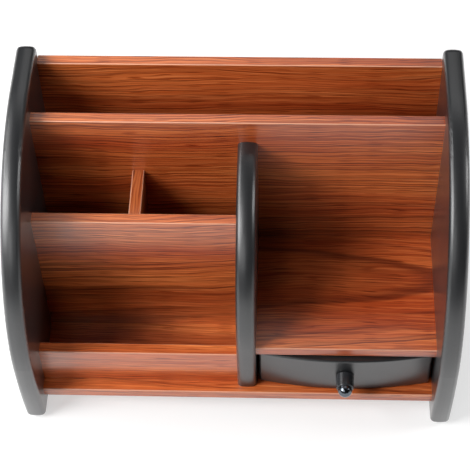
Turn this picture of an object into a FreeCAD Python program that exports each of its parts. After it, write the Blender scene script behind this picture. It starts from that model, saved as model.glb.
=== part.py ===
import FreeCAD, Part

# Rotating desk organizer with a drawer.
#
# Two quarter-round side panels hold cross boards that step down from the back to the front. A smaller
# quarter-round panel parts the front half into a pen slot and an open bin on the left, and an open tray
# over a bow-front drawer on the right. The whole body turns on a low swivel: a round disc on rubber
# pads, and a bearing of two pressed steel plates with a ring of balls between them.
#
# Frame: +X to the right, +Y to the back, +Z up, in millimetres. The origin is on the desk, on the
# swivel's axis, under the middle of the organizer.

import math
import os

import Sketcher

SIZES = {
    # Quarter-round side panels, seen from the side
    "inner_width": 298,
    "side_thickness": 14.5,
    "side_depth": 192,
    "side_height": 224.5,
    "side_curve_radius": 147,
    "side_foot_setback": 6.5,
    "side_corner_radius": 6,
    "side_drop": 17,
    # Crowned rims of the side and centre panels
    "rim_crown": 1,
    "rim_edge_radius": 3.5,
    "cutter_overlap": 1,
    # Cross boards
    "board_thickness": 9,
    "board_edge_radius": 1,
    "base_setback": 16.4,
    "back_setback": 0.6,
    "back_top_drop": 12,
    "rear_divider_step": 4.3,
    "letter_slot_depth": 44,
    "pen_slot_depth": 42,
    "front_divider_height": 130,
    "front_bin_depth": 43,
    "low_wall_height": 37,
    "pen_divider_thickness": 9,
    "pen_divider_drop": 1.5,
    "pen_divider_edge_radius": 1,
    # Quarter-round centre panel
    "left_bay_width": 149.5,
    "centre_thickness": 14.5,
    "centre_height": 162,
    "centre_setback": 4,
    "centre_foot_setback": 1,
    # Tray and drawer
    "drawer_bay_height": 40.8,
    "tray_setback": 8,
    "drawer_side_gap": 2,
    "drawer_base_gap": 0.3,
    "drawer_top_gap": 2,
    "drawer_back_gap": 0.5,
    "drawer_front_setback": 3,
    "drawer_front_bow": 7,
    "drawer_front_thickness": 9,
    "drawer_front_end_radius": 2.5,
    "drawer_front_edge_radius": 1.5,
    "drawer_wall": 6,
    "drawer_side_height": 32,
    "drawer_floor_thickness": 3,
    "drawer_floor_lift": 3,
    "groove_depth": 3,
    "groove_gap": 0.1,
    # Knob
    "knob_shoulder_diameter": 14,
    "knob_end_diameter": 13,
    "knob_length": 11.5,
    "knob_edge_radius": 1,
    "knob_cap_diameter": 10.5,
    "knob_cap_straight": 2.5,
    "knob_cap_length": 6.5,
    "knob_spigot_diameter": 5,
    "knob_spigot_length": 2.5,
    "knob_screw_diameter": 4,
    "knob_screw_bite": 7,
    "knob_screw_head_diameter": 8,
    "knob_screw_head_height": 2.2,
    # Glued dowels
    "dowel_diameter": 5,
    "dowel_length": 20,
    "dowel_chamfer": 0.7,
    "dowel_gap": 0.05,
    "dowel_end_gap": 0.5,
    "dowel_in_panel": 8,
    "dowel_in_board": 5.5,
    "dowel_inset": 22,
    "low_wall_dowel_inset": 10,
    "drawer_dowel_diameter": 3,
    "drawer_dowel_length": 14,
    "drawer_dowel_in_front": 6,
    "drawer_dowel_in_side": 4,
    "drawer_dowel_inset": 9.5,
    "drawer_back_dowel_inset": 6.5,
    # Swivel
    "pad_thickness": 3,
    "pad_diameter": 16,
    "pad_circle_radius": 54,
    "pad_edge_radius": 0.6,
    "disc_diameter": 130,
    "disc_thickness": 9,
    "disc_edge_radius": 1.5,
    "access_hole_diameter": 10,
    "bearing_height": 7,
    "plate_width": 76,
    "plate_corner_radius": 6,
    "plate_gauge": 1,
    "plate_dish_radius": 30,
    "plate_dish_depth": 1.4,
    "plate_hole_diameter": 3.4,
    "plate_hole_inset": 5,
    "track_radius": 20,
    "ball_diameter": 4,
    "ball_gap": 0.05,
    "ball_count": 12,
    "cage_thickness": 1.2,
    "cage_width": 7,
    "cage_pocket_gap": 0.1,
    "eyelet_diameter": 8,
    "eyelet_wall": 1,
    "eyelet_flange_diameter": 12,
    "eyelet_flange_thickness": 0.7,
    "eyelet_gap": 0.05,
    "screw_diameter": 3,
    "screw_length": 8,
    "screw_head_diameter": 5.6,
    "screw_head_height": 1.5,
    "screw_point_length": 1.5,
    "screw_gap": 0.05,
}

# How near an edge has to be to a plane to count as lying in it
NEAR = 0.001

Vector = FreeCAD.Vector
TO_X = FreeCAD.Rotation(Vector(0, 1, 0), 90)
TO_Y = FreeCAD.Rotation(Vector(1, 0, 0), -90)
TO_FRONT = FreeCAD.Rotation(Vector(1, 0, 0), 90)
TO_Z = FreeCAD.Rotation()
TURNED_OVER = FreeCAD.Rotation(Vector(1, 0, 0), 180)

doc = FreeCAD.newDocument("desk_organizer")
sheet = doc.addObject("Spreadsheet::Sheet", "dims")
for row, (alias, number) in enumerate(SIZES.items(), 1):
    sheet.set(f"A{row}", alias)
    sheet.set(f"B{row}", str(number))
    sheet.setAlias(f"B{row}", alias)
doc.recompute()


class Size:
    """A length that knows its number and the spreadsheet formula that it comes from."""

    def __init__(self, number, formula):
        self.number = number
        self.formula = formula

    def __add__(self, other):
        other = as_size(other)
        return Size(self.number + other.number, f"({self.formula} + {other.formula})")

    def __sub__(self, other):
        other = as_size(other)
        return Size(self.number - other.number, f"({self.formula} - {other.formula})")

    def __mul__(self, other):
        other = as_size(other)
        return Size(self.number * other.number, f"({self.formula} * {other.formula})")

    def __truediv__(self, other):
        other = as_size(other)
        return Size(self.number / other.number, f"({self.formula} / {other.formula})")

    def __neg__(self):
        return Size(-self.number, f"(0 - {self.formula})")


def as_size(value):
    return value if isinstance(value, Size) else Size(value, repr(value))


def root_of(size):
    return Size(math.sqrt(size.number), f"sqrt({size.formula})")


def sagitta_radius(half_chord, rise):
    """Radius of the arc that rises by rise in the middle of a chord."""
    return (half_chord * half_chord + rise * rise) / (rise * 2)


class Sheet:
    """The spreadsheet's sizes by name, each as a Size."""

    def __getattr__(self, alias):
        return Size(float(sheet.get(alias)), f"dims.{alias}")


dim = Sheet()
nodes = {}


def bind(feature, prop, size):
    feature.setExpression(prop, as_size(size).formula)


def place(feature, x=0, y=0, z=0, rotation=TO_Z):
    feature.Placement = FreeCAD.Placement(Vector(0, 0, 0), rotation)
    for axis, size in (("x", x), ("y", y), ("z", z)):
        bind(feature, f"Placement.Base.{axis}", size)


def keep(node, feature):
    """Enter a finished piece under the name of its node."""
    feature.Label = node
    nodes[node] = feature
    return feature


def new_body(name):
    return doc.addObject("PartDesign::Body", name)


def primitive(body, kind, name, x=0, y=0, z=0, **sizes):
    """Add or take away a box or a cylinder in a body's own frame."""
    feature = body.newObject(f"PartDesign::{kind}", name)
    for prop, size in sizes.items():
        bind(feature, prop, size)
    for axis, size in (("x", x), ("y", y), ("z", z)):
        bind(feature, f"Placement.Base.{axis}", size)
    doc.recompute()
    return feature


def lies_at(edge, places):
    """Say whether an edge lies in all the planes of one of the places."""
    box = edge.BoundBox

    def in_plane(axis, size):
        target = as_size(size).number
        low = getattr(box, f"{axis}Min")
        high = getattr(box, f"{axis}Max")
        return abs(low - target) < NEAR and abs(high - target) < NEAR

    return any(all(in_plane(axis, size) for axis, size in planes.items()) for planes in places)


def round_over(body, name, radius, places, skip=()):
    """Round the edges of a body's last feature that lie at the places, but not those to skip."""
    base = body.Tip
    chosen = []
    for number, edge in enumerate(base.Shape.Edges, 1):
        if lies_at(edge, places) and not lies_at(edge, skip):
            chosen.append(f"Edge{number}")
    fillet = body.newObject("PartDesign::Fillet", name)
    fillet.Base = (base, chosen)
    bind(fillet, "Radius", radius)
    doc.recompute()
    return fillet


def new_sketch(body, name, plane):
    sketch = body.newObject("Sketcher::SketchObject", name)
    support = next(item for item in body.Origin.OriginFeatures if item.Role == plane)
    sketch.AttachmentSupport = [(support, "")]
    sketch.MapMode = "FlatFace"
    return sketch


def measure(sketch, kind, *where, size):
    """Add a dimension that follows the spreadsheet."""
    number = sketch.addConstraint(Sketcher.Constraint(kind, *where, as_size(size).number))
    sketch.renameConstraint(number, f"{kind}_{number}")
    bind(sketch, f"Constraints.{kind}_{number}", size)


def arc_between(start, end, radius, turns_left):
    """Arc of under half a turn; Sketcher always keeps it anticlockwise."""
    chord = end - start
    across = Vector(-chord.y, chord.x, 0).normalize()
    rise = math.sqrt(max(radius**2 - (chord.Length / 2) ** 2, 0))
    centre = (start + end) / 2 + across * (rise if turns_left else -rise)
    first, last = (start, end) if turns_left else (end, start)
    angles = [math.atan2(tip.y - centre.y, tip.x - centre.x) for tip in (first, last)]
    return Part.ArcOfCircle(Part.Circle(centre, Vector(0, 0, 1), radius), *angles)


def hold(sketch, edge, tip, corner):
    """Dimension one end of an edge from the sketch's origin; a plain 0 puts it on the axis."""
    for kind, axis_line, value in (("DistanceX", -2, corner[0]), ("DistanceY", -1, corner[1])):
        if isinstance(value, Size):
            measure(sketch, kind, -1, 1, edge, tip, size=value)
        else:
            sketch.addConstraint(Sketcher.Constraint("PointOnObject", edge, tip, axis_line))


def outline(body, name, plane, corners, closed=True):
    """Draw an anticlockwise outline, or an open path, from corners (x, y).

    A third value says that the edge that reaches the corner is an arc of that radius, and a fourth,
    "right", that the arc turns to the right.
    """
    sketch = new_sketch(body, name, plane)
    points = [Vector(as_size(corner[0]).number, as_size(corner[1]).number, 0) for corner in corners]
    reached = list(enumerate(corners)) if closed else list(enumerate(corners))[1:]
    tips = []
    for index, corner in reached:
        start = points[index - 1]
        end = points[index]
        if len(corner) == 2:
            edge = sketch.addGeometry(Part.LineSegment(start, end), False)
            tips.append((edge, 1, 2))
            continue
        turns_left = len(corner) == 3
        arc = arc_between(start, end, corner[2].number, turns_left)
        edge = sketch.addGeometry(arc, False)
        tips.append((edge, 1, 2) if turns_left else (edge, 2, 1))
    followers = tips[1:] + tips[:1] if closed else tips[1:]
    for (edge, first, last), (after, after_first, after_last) in zip(tips, followers):
        sketch.addConstraint(Sketcher.Constraint("Coincident", edge, last, after, after_first))
    if not closed:
        hold(sketch, tips[0][0], tips[0][1], corners[0])
    for (edge, first, last), (index, corner) in zip(tips, reached):
        hold(sketch, edge, last, corner)
        if len(corner) > 2:
            measure(sketch, "Radius", edge, size=corner[2])
    return sketch


def circles(body, name, plane, *rings):
    """Draw circles (x, radius) whose centres lie on the sketch's horizontal axis."""
    sketch = new_sketch(body, name, plane)
    for x, radius in rings:
        centre = Vector(as_size(x).number, 0, 0)
        edge = sketch.addGeometry(Part.Circle(centre, Vector(0, 0, 1), radius.number), False)
        if isinstance(x, Size):
            sketch.addConstraint(Sketcher.Constraint("PointOnObject", edge, 3, -1))
            measure(sketch, "DistanceX", -1, 1, edge, 3, size=x)
        else:
            sketch.addConstraint(Sketcher.Constraint("Coincident", edge, 3, -1, 1))
        measure(sketch, "Radius", edge, size=radius)
    return sketch


def pad(body, name, sketch, length):
    feature = body.newObject("PartDesign::Pad", name)
    feature.Profile = sketch
    bind(feature, "Length", length)
    doc.recompute()
    return feature


def turned(name, corners):
    """A turned piece: an outline (radius, height) revolved about the body's Z axis."""
    body = new_body(name)
    sketch = outline(body, f"{name}_section", "XZ_Plane", corners)
    feature = body.newObject("PartDesign::Revolution", f"{name}_turning")
    feature.Profile = sketch
    feature.ReferenceAxis = (sketch, ["V_Axis"])
    feature.Angle = 360
    doc.recompute()
    return body


def copies(node, source, placings):
    """One node of equal separate pieces: a link to the source at each (start, rotation)."""
    links = []
    for number, (start, rotation) in enumerate(placings, 1):
        link = doc.addObject("App::Link", f"{node}_{number}")
        link.LinkedObject = source
        place(link, *start, rotation=rotation)
        links.append(link)
    group = doc.addObject("Part::Compound", node)
    group.Links = links
    return keep(node, group)


# Levels and planes of the whole object, from the desk up and from the front to the back

disc_bottom = dim.pad_thickness
bearing_bottom = disc_bottom + dim.disc_thickness
base_bottom = bearing_bottom + dim.bearing_height
base_top = base_bottom + dim.board_thickness
side_bottom = base_bottom - dim.side_drop
back_top = side_bottom + dim.side_height - dim.back_top_drop
rear_divider_top = back_top - dim.rear_divider_step
front_divider_top = base_top + dim.front_divider_height
low_wall_top = base_top + dim.low_wall_height
pen_divider_top = front_divider_top - dim.pen_divider_drop
tray_bottom = base_top + dim.drawer_bay_height

side_front = -(dim.side_depth / 2)
base_front = side_front + dim.base_setback
back_rear = dim.side_depth / 2 - dim.back_setback
back_front = back_rear - dim.board_thickness
rear_divider_rear = back_front - dim.letter_slot_depth
rear_divider_front = rear_divider_rear - dim.board_thickness
front_divider_rear = rear_divider_front - dim.pen_slot_depth
front_divider_front = front_divider_rear - dim.board_thickness
low_wall_rear = front_divider_front - dim.front_bin_depth
low_wall_front = low_wall_rear - dim.board_thickness
centre_front = base_front + dim.centre_setback
tray_front = base_front + dim.tray_setback

left_inner = -(dim.inner_width / 2)
right_inner = dim.inner_width / 2
centre_left = left_inner + dim.left_bay_width
centre_right = centre_left + dim.centre_thickness
pen_divider_left = (left_inner + centre_left - dim.pen_divider_thickness) / 2
right_bay_width = right_inner - centre_right


# Dowelled joints: each dowel is a pin, and one drill goes through both pieces that it joins


class Joint:
    """A row of dowels along one axis, and the drills that make their holes."""

    def __init__(self, name, rotation, starts, radius, length):
        self.rotation = rotation
        self.starts = starts
        self.drills = []
        along = rotation.multVec(Vector(0, 0, 1))
        for number, start in enumerate(starts, 1):
            drill = doc.addObject("Part::Cylinder", f"{name}_drill_{number}")
            bind(drill, "Radius", radius + dim.dowel_gap)
            bind(drill, "Height", length + dim.dowel_end_gap * 2)
            back_off = [dim.dowel_end_gap * round(share) for share in along]
            place(drill, *[at - step for at, step in zip(start, back_off)], rotation=rotation)
            self.drills.append(drill)


def panel_joint(name, rotation, starts):
    return Joint(name, rotation, starts, dim.dowel_diameter / 2, dim.dowel_length)


def drawer_joint(name, rotation, starts):
    return Joint(name, rotation, starts, dim.drawer_dowel_diameter / 2, dim.drawer_dowel_length)


def drilled(node, blank, *joints):
    """The node is the blank with the holes of its joints drilled."""
    tool = doc.addObject("Part::Compound", f"{node}_drills")
    tool.Links = [drill for joint in joints for drill in joint.drills]
    cut = doc.addObject("Part::Cut", node)
    cut.Base = blank
    cut.Tool = tool
    return keep(node, cut)


def dowels(node, source, *joints):
    """All the dowels of some joints, as one node of separate pins."""
    return copies(node, source, [(start, joint.rotation) for joint in joints for start in joint.starts])


def two_up(low, high, inset):
    """Two heights, set in from the lower and the upper edge of a board."""
    return [low + inset, high - inset]


left_start = left_inner - dim.dowel_in_panel
right_start = right_inner + dim.dowel_in_panel - dim.dowel_length
into_centre_from_left = centre_left + dim.dowel_in_panel - dim.dowel_length
into_centre_from_right = centre_right - dim.dowel_in_panel

base_dowel_rows = two_up(base_front, back_front, dim.dowel_inset)
base_middle = base_bottom + dim.board_thickness / 2
back_dowel_rows = two_up(base_bottom, back_top, dim.dowel_inset)
back_middle = back_front + dim.board_thickness / 2
rear_dowel_rows = two_up(base_top, rear_divider_top, dim.dowel_inset)
rear_middle = rear_divider_front + dim.board_thickness / 2
front_dowel_rows = two_up(base_top, front_divider_top, dim.dowel_inset)
front_middle = front_divider_front + dim.board_thickness / 2
low_dowel_rows = two_up(base_top, low_wall_top, dim.low_wall_dowel_inset)
low_middle = low_wall_front + dim.board_thickness / 2
tray_dowel_rows = two_up(tray_front, rear_divider_front, dim.dowel_inset)
tray_middle = tray_bottom + dim.board_thickness / 2
centre_middle = centre_left + dim.centre_thickness / 2
centre_top = base_top + dim.centre_height
pen_middle = pen_divider_left + dim.pen_divider_thickness / 2
pen_dowel_rows = two_up(base_top, pen_divider_top, dim.dowel_inset)


def end_joint(name, start_x, y, rows):
    """Dowels along X in the end of an upright board."""
    return panel_joint(name, TO_X, [(start_x, y, z) for z in rows])


def shelf_joint(name, start_x, z, rows):
    """Dowels along X in the end of a level board."""
    return panel_joint(name, TO_X, [(start_x, y, z) for y in rows])


base_left_joint = shelf_joint("base_left", left_start, base_middle, base_dowel_rows)
base_right_joint = shelf_joint("base_right", right_start, base_middle, base_dowel_rows)
back_left_joint = end_joint("back_left", left_start, back_middle, back_dowel_rows)
back_right_joint = end_joint("back_right", right_start, back_middle, back_dowel_rows)
rear_left_joint = end_joint("rear_left", left_start, rear_middle, rear_dowel_rows)
rear_right_joint = end_joint("rear_right", right_start, rear_middle, rear_dowel_rows)
front_left_joint = end_joint("front_left", left_start, front_middle, front_dowel_rows)
front_right_joint = end_joint("front_right", into_centre_from_left, front_middle, front_dowel_rows)
low_left_joint = end_joint("low_left", left_start, low_middle, low_dowel_rows)
low_right_joint = end_joint("low_right", into_centre_from_left, low_middle, low_dowel_rows)
tray_left_joint = shelf_joint("tray_left", into_centre_from_right, tray_middle, tray_dowel_rows)
tray_right_joint = shelf_joint("tray_right", right_start, tray_middle, tray_dowel_rows)

into_rear_divider = rear_divider_front + dim.dowel_in_board - dim.dowel_length
centre_rear_joint = panel_joint(
    "centre_rear",
    TO_Y,
    [(centre_middle, into_rear_divider, z) for z in two_up(tray_bottom, centre_top, dim.dowel_inset)],
)
centre_base_joint = panel_joint(
    "centre_base",
    TO_Z,
    [
        (centre_middle, y, base_top - dim.dowel_in_board)
        for y in two_up(centre_front, rear_divider_front, dim.dowel_inset)
    ],
)
pen_rear_joint = panel_joint(
    "pen_rear", TO_Y, [(pen_middle, into_rear_divider, z) for z in pen_dowel_rows]
)
pen_front_joint = panel_joint(
    "pen_front",
    TO_Y,
    [(pen_middle, front_divider_rear - dim.dowel_in_board, z) for z in pen_dowel_rows],
)


# Crowned rims: one cutter section, swept along a panel's rim, leaves a low crown with soft shoulders


def rim_cutter(body, name, plane, offset, thickness, crest):
    """Section of the cutter, in a plane that the rim crosses square, with the rim up to crest."""
    half = thickness / 2
    crown_radius = sagitta_radius(half, dim.rim_crown)
    crown_centre = crest - crown_radius
    reach = crown_radius - dim.rim_edge_radius
    inset = half - dim.rim_edge_radius
    rise = root_of(reach * reach - inset * inset)
    share = crown_radius / reach
    shoulder = crown_centre + rise
    bend_left = half - inset * share
    bend_right = half + inset * share
    bend_level = crown_centre + rise * share
    left = -dim.cutter_overlap
    right = thickness + dim.cutter_overlap
    above = crest + dim.cutter_overlap
    corners = [
        (left, shoulder),
        (0, shoulder),
        (bend_left, bend_level, dim.rim_edge_radius, "right"),
        (bend_right, bend_level, crown_radius, "right"),
        (thickness, shoulder, dim.rim_edge_radius, "right"),
        (right, shoulder),
        (right, above),
        (left, above),
    ]
    sketch = outline(body, name, plane, corners)
    bind(sketch, "AttachmentOffset.Base.z", offset)
    return sketch


def crown_rim(body, name, cutter, spine):
    sweep = body.newObject("PartDesign::SubtractivePipe", name)
    sweep.Profile = cutter
    sweep.Spine = spine
    sweep.Mode = "Standard"
    doc.recompute()
    return sweep


# Side panels


def side_blank(name, x):
    """Quarter-round panel: flat top at the back, one big arc down the front, a foot that draws in."""
    body = new_body(name)
    curve_height = dim.side_height - dim.side_curve_radius
    foot_radius = sagitta_radius(curve_height, dim.side_foot_setback)
    profile = [
        (dim.side_foot_setback, 0, foot_radius),
        (dim.side_depth, 0),
        (dim.side_depth, dim.side_height),
        (dim.side_curve_radius, dim.side_height),
        (0, curve_height, dim.side_curve_radius),
    ]
    sketch = outline(body, f"{name}_profile", "YZ_Plane", profile)
    pad(body, f"{name}_board", sketch, dim.side_thickness)
    corners = [
        {"Y": dim.side_foot_setback, "Z": 0},
        {"Y": dim.side_depth, "Z": 0},
        {"Y": dim.side_depth, "Z": dim.side_height},
    ]
    round_over(body, f"{name}_corners", dim.side_corner_radius, corners)
    board = body.Tip
    edges = enumerate(board.Shape.Edges, 1)
    rim = [(number, edge) for number, edge in edges if lies_at(edge, [{"X": 0}])]
    rim.sort(key=lambda item: not lies_at(item[1], [{"Y": dim.side_depth}]))
    # The sweep starts at the back edge, so the cutter's section is drawn level with that edge's foot
    cutter = rim_cutter(
        body, f"{name}_cutter", "XY_Plane", dim.side_corner_radius, dim.side_thickness, dim.side_depth
    )
    crown_rim(body, f"{name}_rim", cutter, (board, [f"Edge{number}" for number, edge in rim]))
    place(body, x, side_front, side_bottom)
    return body


left_blank = side_blank("left_side_blank", left_inner - dim.side_thickness)
drilled(
    "left_side_panel",
    left_blank,
    base_left_joint,
    back_left_joint,
    rear_left_joint,
    front_left_joint,
    low_left_joint,
)
right_blank = side_blank("right_side_blank", right_inner)
drilled(
    "right_side_panel",
    right_blank,
    base_right_joint,
    back_right_joint,
    rear_right_joint,
    tray_right_joint,
)


# Cross boards


def upright_blank(name, x, y, z, width, height, thickness, radius):
    """Board that stands across the organizer, with its two upper edges rounded."""
    body = new_body(name)
    primitive(body, "AdditiveBox", f"{name}_board", Length=width, Width=thickness, Height=height)
    upper_edges = [{"Y": 0, "Z": height}, {"Y": thickness, "Z": height}]
    round_over(body, f"{name}_edges", radius, upper_edges)
    place(body, x, y, z)
    return body


def level_blank(name, x, y, z, width, depth):
    """Board that lies flat, with its two front edges rounded."""
    body = new_body(name)
    thickness = dim.board_thickness
    primitive(body, "AdditiveBox", f"{name}_board", Length=width, Width=depth, Height=thickness)
    front_edges = [{"Y": 0, "Z": 0}, {"Y": 0, "Z": thickness}]
    round_over(body, f"{name}_edges", dim.board_edge_radius, front_edges)
    place(body, x, y, z)
    return body


def cross_board(node, y, bottom, top, width, *joints):
    """Upright cross board that starts at the left side panel."""
    thickness = dim.board_thickness
    radius = dim.board_edge_radius
    height = top - bottom
    blank = upright_blank(f"{node}_blank", left_inner, y, bottom, width, height, thickness, radius)
    return drilled(node, blank, *joints)


cross_board(
    "back_panel", back_front, base_bottom, back_top, dim.inner_width, back_left_joint, back_right_joint
)
cross_board(
    "rear_divider",
    rear_divider_front,
    base_top,
    rear_divider_top,
    dim.inner_width,
    rear_left_joint,
    rear_right_joint,
    centre_rear_joint,
    pen_rear_joint,
)
cross_board(
    "front_divider",
    front_divider_front,
    base_top,
    front_divider_top,
    dim.left_bay_width,
    front_left_joint,
    front_right_joint,
    pen_front_joint,
)
cross_board(
    "low_front_wall",
    low_wall_front,
    base_top,
    low_wall_top,
    dim.left_bay_width,
    low_left_joint,
    low_right_joint,
)

tray_blank = level_blank(
    "tray_blank", centre_right, tray_front, tray_bottom, right_bay_width, rear_divider_front - tray_front
)
drilled("tray_board", tray_blank, tray_left_joint, tray_right_joint)

# The pen divider is an upright board turned to run along the depth
pen_blank = new_body("pen_divider_blank")
pen_height = pen_divider_top - base_top
primitive(
    pen_blank,
    "AdditiveBox",
    "pen_divider_board",
    Length=dim.pen_divider_thickness,
    Width=dim.pen_slot_depth,
    Height=pen_height,
)
pen_edges = [{"X": 0, "Z": pen_height}, {"X": dim.pen_divider_thickness, "Z": pen_height}]
round_over(pen_blank, "pen_divider_edges", dim.pen_divider_edge_radius, pen_edges)
place(pen_blank, pen_divider_left, front_divider_rear, base_top)
drilled("pen_divider", pen_blank, pen_front_joint, pen_rear_joint)


# Centre panel


def centre_blank():
    """Quarter-round panel whose arc starts level at the rear divider and ends upright at the front."""
    body = new_body("centre_blank")
    depth = rear_divider_front - centre_front
    curve_height = dim.centre_height - depth
    foot_radius = sagitta_radius(curve_height, dim.centre_foot_setback)
    profile = [
        (dim.centre_foot_setback, 0, foot_radius),
        (depth, 0),
        (depth, dim.centre_height),
        (0, curve_height, depth),
    ]
    sketch = outline(body, "centre_profile", "YZ_Plane", profile)
    pad(body, "centre_board", sketch, dim.centre_thickness)
    # Only the free rim is crowned; the cutter runs out past both ends of it
    start = depth + dim.cutter_overlap
    run_out = curve_height + dim.cutter_overlap
    end = foot_radius - root_of(foot_radius * foot_radius - run_out * run_out)
    path = outline(
        body,
        "centre_rim_path",
        "YZ_Plane",
        [
            (start, dim.centre_height),
            (depth, dim.centre_height),
            (0, curve_height, depth),
            (end, -dim.cutter_overlap, foot_radius),
        ],
        closed=False,
    )
    cutter = rim_cutter(
        body, "centre_cutter", "XZ_Plane", -start, dim.centre_thickness, dim.centre_height
    )
    crown_rim(body, "centre_rim", cutter, (path, []))
    place(body, centre_left, centre_front, base_top)
    return body


drilled(
    "centre_panel",
    centre_blank(),
    front_right_joint,
    low_right_joint,
    tray_left_joint,
    centre_rear_joint,
    centre_base_joint,
)


# Drawer

drawer_left = centre_right + dim.drawer_side_gap
drawer_width = right_bay_width - dim.drawer_side_gap * 2
drawer_right = drawer_left + drawer_width
drawer_bottom = base_top + dim.drawer_base_gap
drawer_front_height = dim.drawer_bay_height - dim.drawer_base_gap - dim.drawer_top_gap
drawer_face = tray_front + dim.drawer_front_setback
drawer_front_back = drawer_face + dim.drawer_front_thickness
drawer_rear = rear_divider_front - dim.drawer_back_gap
drawer_side_length = drawer_rear - drawer_front_back
drawer_inner_width = drawer_width - dim.drawer_wall * 2
slot_bottom = dim.drawer_floor_lift - dim.groove_gap
slot_height = dim.drawer_floor_thickness + dim.groove_gap * 2
drawer_floor_top = drawer_bottom + dim.drawer_floor_lift + dim.drawer_floor_thickness
drawer_dowel_rows = two_up(
    drawer_bottom, drawer_bottom + dim.drawer_side_height, dim.drawer_dowel_inset
)
drawer_middle = drawer_left + drawer_width / 2
knob_height = drawer_bottom + drawer_front_height / 2
knob_seat = drawer_face - dim.drawer_front_bow

side_middles = {
    "left": drawer_left + dim.drawer_wall / 2,
    "right": drawer_right - dim.drawer_wall / 2,
}
drawer_corner_joints = {
    side: drawer_joint(
        f"drawer_{side}_corner",
        TO_Y,
        [(x, drawer_front_back - dim.drawer_dowel_in_front, z) for z in drawer_dowel_rows],
    )
    for side, x in side_middles.items()
}
back_pin_starts = {
    "left": drawer_left + dim.drawer_wall - dim.drawer_dowel_in_side,
    "right": drawer_right - dim.drawer_wall + dim.drawer_dowel_in_side - dim.drawer_dowel_length,
}
drawer_back_rows = two_up(
    drawer_floor_top, drawer_bottom + dim.drawer_side_height, dim.drawer_back_dowel_inset
)
drawer_back_joints = {
    side: drawer_joint(
        f"drawer_{side}_back",
        TO_X,
        [(x, drawer_rear - dim.drawer_wall / 2, z) for z in drawer_back_rows],
    )
    for side, x in back_pin_starts.items()
}


def drawer_front_blank():
    """Front bowed outwards in plan, flat behind, with a groove for the drawer's floor."""
    body = new_body("drawer_front_blank")
    bow_radius = sagitta_radius(drawer_width / 2, dim.drawer_front_bow)
    plan = [
        (0, dim.drawer_front_thickness),
        (0, 0),
        (drawer_width, 0, bow_radius),
        (drawer_width, dim.drawer_front_thickness),
    ]
    sketch = outline(body, "drawer_front_plan", "XY_Plane", plan)
    pad(body, "drawer_front_board", sketch, drawer_front_height)
    ends = [{"X": 0, "Y": 0}, {"X": drawer_width, "Y": 0}]
    round_over(body, "drawer_front_ends", dim.drawer_front_end_radius, ends)
    faces = [{"Z": 0}, {"Z": drawer_front_height}]
    behind = [{"Y": dim.drawer_front_thickness}, {"X": 0}, {"X": drawer_width}]
    round_over(body, "drawer_front_edges", dim.drawer_front_edge_radius, faces, skip=behind)
    primitive(
        body,
        "SubtractiveBox",
        "drawer_front_groove",
        x=dim.drawer_wall - dim.groove_depth,
        y=dim.drawer_front_thickness - dim.groove_depth,
        z=slot_bottom,
        Length=drawer_inner_width + dim.groove_depth * 2,
        Width=dim.groove_depth,
        Height=slot_height,
    )
    place(body, drawer_left, drawer_face, drawer_bottom)
    return body


class KnobHole:
    """The hole for the knob's screw, through the thickest part of the drawer front."""

    def __init__(self):
        drill = doc.addObject("Part::Cylinder", "knob_drill")
        bind(drill, "Radius", dim.knob_screw_diameter / 2 + dim.screw_gap)
        bind(drill, "Height", dim.drawer_front_thickness + dim.drawer_front_bow * 2)
        place(drill, drawer_middle, drawer_front_back, knob_height, rotation=TO_FRONT)
        self.drills = [drill]


def drawer_side_blank(name, x, groove_x):
    body = new_body(name)
    primitive(
        body,
        "AdditiveBox",
        f"{name}_board",
        Length=dim.drawer_wall,
        Width=drawer_side_length,
        Height=dim.drawer_side_height,
    )
    primitive(
        body,
        "SubtractiveBox",
        f"{name}_groove",
        x=groove_x,
        z=slot_bottom,
        Length=dim.groove_depth,
        Width=drawer_side_length,
        Height=slot_height,
    )
    place(body, x, drawer_front_back, drawer_bottom)
    return body


left_wall = drawer_side_blank("drawer_left_blank", drawer_left, dim.drawer_wall - dim.groove_depth)
right_wall = drawer_side_blank("drawer_right_blank", drawer_right - dim.drawer_wall, 0)
drilled(
    "drawer_front",
    drawer_front_blank(),
    drawer_corner_joints["left"],
    drawer_corner_joints["right"],
    KnobHole(),
)
drilled("drawer_left_side", left_wall, drawer_corner_joints["left"], drawer_back_joints["left"])
drilled("drawer_right_side", right_wall, drawer_corner_joints["right"], drawer_back_joints["right"])

# The back stands on the floor board, which slides in under it
back_wall = new_body("drawer_back_blank")
primitive(
    back_wall,
    "AdditiveBox",
    "drawer_back_board",
    Length=drawer_inner_width,
    Width=dim.drawer_wall,
    Height=drawer_bottom + dim.drawer_side_height - drawer_floor_top,
)
place(back_wall, drawer_left + dim.drawer_wall, drawer_rear - dim.drawer_wall, drawer_floor_top)
drilled("drawer_back", back_wall, drawer_back_joints["left"], drawer_back_joints["right"])

floor_reach = dim.groove_depth - dim.groove_gap
drawer_floor = new_body("drawer_floor")
primitive(
    drawer_floor,
    "AdditiveBox",
    "drawer_floor_board",
    Length=drawer_inner_width + floor_reach * 2,
    Width=drawer_side_length + floor_reach,
    Height=dim.drawer_floor_thickness,
)
place(
    drawer_floor,
    drawer_left + dim.drawer_wall - floor_reach,
    drawer_front_back - floor_reach,
    drawer_bottom + dim.drawer_floor_lift,
)
keep("drawer_floor", drawer_floor)


# Knob: turned body on the bow's crest, metal cap in its nose, screw from inside the drawer


def screw(name, diameter, head_diameter, head_height, length, point_length):
    """Pan-head screw along +Z, with the seat of its head at height 0."""
    shank = diameter / 2
    head = head_diameter / 2
    rounding = head_height / 2
    return turned(
        name,
        [
            (0, -head_height),
            (head - rounding, -head_height),
            (head, -rounding, rounding),
            (head, 0),
            (shank, 0),
            (shank, length - point_length),
            (0, length),
        ],
    )


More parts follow.
